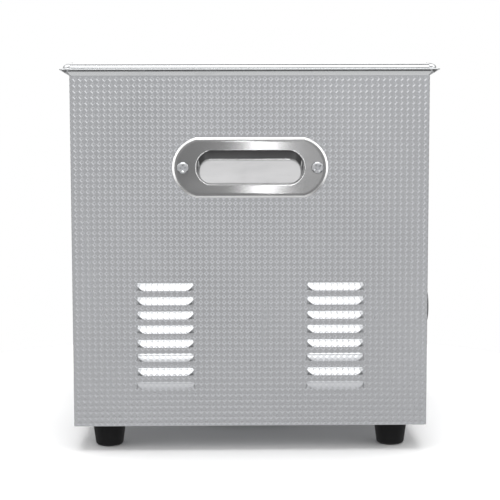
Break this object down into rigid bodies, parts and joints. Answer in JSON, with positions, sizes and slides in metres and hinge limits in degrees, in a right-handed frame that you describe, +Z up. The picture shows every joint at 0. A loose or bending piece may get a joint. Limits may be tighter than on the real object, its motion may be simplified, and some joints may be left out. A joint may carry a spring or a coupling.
{
  "type": "ultrasonic cleaner",
  "caption": "Bench-top heated ultrasonic bath for jewellery, with an open steel tank, knob controls, recessed side handles and a drain valve.",
  "frame": {"origin": "on the bench, midway between the four feet and under the middle of the housing", "axes": "+X along the length towards the drain valve, -Y towards the user (control side), +Z up"},
  "size_m": [0.381, 0.2862, 0.28],
  "materials": {
    "tank_steel": "polished drawn stainless",
    "embossed_steel": "embossed diamond pattern",
    "plain_steel": "mill finish",
    "handle_steel": "fine horizontal brushing",
    "bright_fixings": "plated",
    "foot_rubber": "matt black rubber",
    "horn_aluminium": "turned",
    "piezo_ceramic": "fired ceramic with silvered faces",
    "copper_tabs": "thin copper",
    "dark_steel": "blued steel",
    "heater_silicone": "orange silicone",
    "cutout_body": "phenolic",
    "sensing_copper": "copper bulb",
    "board_laminate": "green solder mask",
    "sink_aluminium": "extruded",
    "black_moulding": "moulded epoxy",
    "ferrite_and_tape": "ferrite with taped winding",
    "winding_copper": "enamelled wire",
    "capacitor_sleeve": "printed sleeve, no lettering",
    "terminal_plastic": "moulded",
    "standoff_brass": "turned hexagon",
    "fan_plastic": "glass-filled",
    "plate_aluminium": "brushed, with printed dial scales",
    "shaft_steel": "turned",
    "knob_plastic": "black",
    "pale_moulding": "ceramic-filled moulding",
    "lamp_lens": "translucent red",
    "rocker_plastic": "red rocker",
    "pin_nickel": "nickel plated",
    "drain_steel": "turned",
    "valve_brass": "machined",
    "hose_silicone": "milky silicone",
    "valve_plated": "nickel plated brass",
    "ball_chrome": "hard chromed",
    "lever_coated": "red dipped grip",
    "wire_insulation": "PVC insulation"
  },
  "bodies": {
    "housing": {"tank": "tank_steel", "left_side_panel": "embossed_steel", "right_side_panel": "embossed_steel", "front_panel": "embossed_steel", "rear_panel": "embossed_steel", "base_plate": "plain_steel", "left_handle": "handle_steel", "right_handle": "handle_steel", "handle_screws": "bright_fixings", "handle_nuts": "bright_fixings", "rubber_feet": "foot_rubber", "foot_screws": "bright_fixings", "foot_nuts": "bright_fixings", "base_screws": "bright_fixings", "transducer_horns": "horn_aluminium", "piezo_rings": "piezo_ceramic", "electrode_tabs": "copper_tabs", "back_masses": "dark_steel", "transducer_bolts": "dark_steel", "heater_pads": "heater_silicone", "thermal_cutout": "cutout_body", "thermostat_bulb": "sensing_copper", "capillary_tube": "sensing_copper", "generator_board": "board_laminate", "heat_sink": "sink_aluminium", "power_transistors": "black_moulding", "board_transformer": "ferrite_and_tape", "board_inductors": "winding_copper", "board_capacitors": "capacitor_sleeve", "board_terminals": "terminal_plastic", "board_standoffs": "standoff_brass", "m3_screws": "bright_fixings", "fan_frame": "fan_plastic", "fan_guard": "bright_fixings", "control_plate": "plate_aluminium", "timer_unit": "black_moulding", "thermostat_unit": "pale_moulding", "indicator_lamps": "lamp_lens", "panel_nuts": "bright_fixings", "switch_housing": "black_moulding", "power_inlet": "black_moulding", "inlet_pins": "pin_nickel", "drain_strainer": "drain_steel", "drain_nut": "valve_brass", "drain_hose": "hose_silicone", "valve_locknut": "valve_brass", "valve_body": "valve_plated", "valve_spout": "valve_plated", "internal_wiring": "wire_insulation"},
    "timer_control": {"timer_shaft": "shaft_steel", "timer_knob": "knob_plastic"},
    "heat_control": {"thermostat_shaft": "shaft_steel", "heat_knob": "knob_plastic"},
    "power_rocker": {"switch_rocker": "rocker_plastic"},
    "fuse_carrier": {"fuse_drawer": "black_moulding"},
    "fan_wheel": {"fan_rotor": "fan_plastic"},
    "drain_ball": {"valve_ball": "ball_chrome", "valve_stem": "shaft_steel", "valve_lever": "lever_coated", "lever_nut": "bright_fixings"}
  },
  "joints": [
    {"name": "timer_turn", "type": "hinge", "parent": "housing", "child": "timer_control", "pos_m": [0.098, -0.128, 0.08], "axis": [0, 1, 0], "range_deg": [0, 300]},
    {"name": "heat_turn", "type": "hinge", "parent": "housing", "child": "heat_control", "pos_m": [0.022, -0.128, 0.08], "axis": [0, 1, 0], "range_deg": [0, 270]},
    {"name": "power_rock", "type": "hinge", "parent": "housing", "child": "power_rocker", "pos_m": [0.032, 0.127, 0.062], "axis": [-1, 0, 0], "range_deg": [0, 22]},
    {"name": "fuse_slide", "type": "slide", "parent": "housing", "child": "fuse_carrier", "axis": [0, 1, 0], "range_m": [0, 0.02]},
    {"name": "fan_spin", "type": "hinge", "parent": "housing", "child": "fan_wheel", "pos_m": [-0.075, 0.112, 0.072], "axis": [0, 1, 0], "continuous": true},
    {"name": "valve_turn", "type": "hinge", "parent": "housing", "child": "drain_ball", "pos_m": [0.18, 0, 0.094], "axis": [0, 0, 1], "range_deg": [0, 90]}
  ]
}
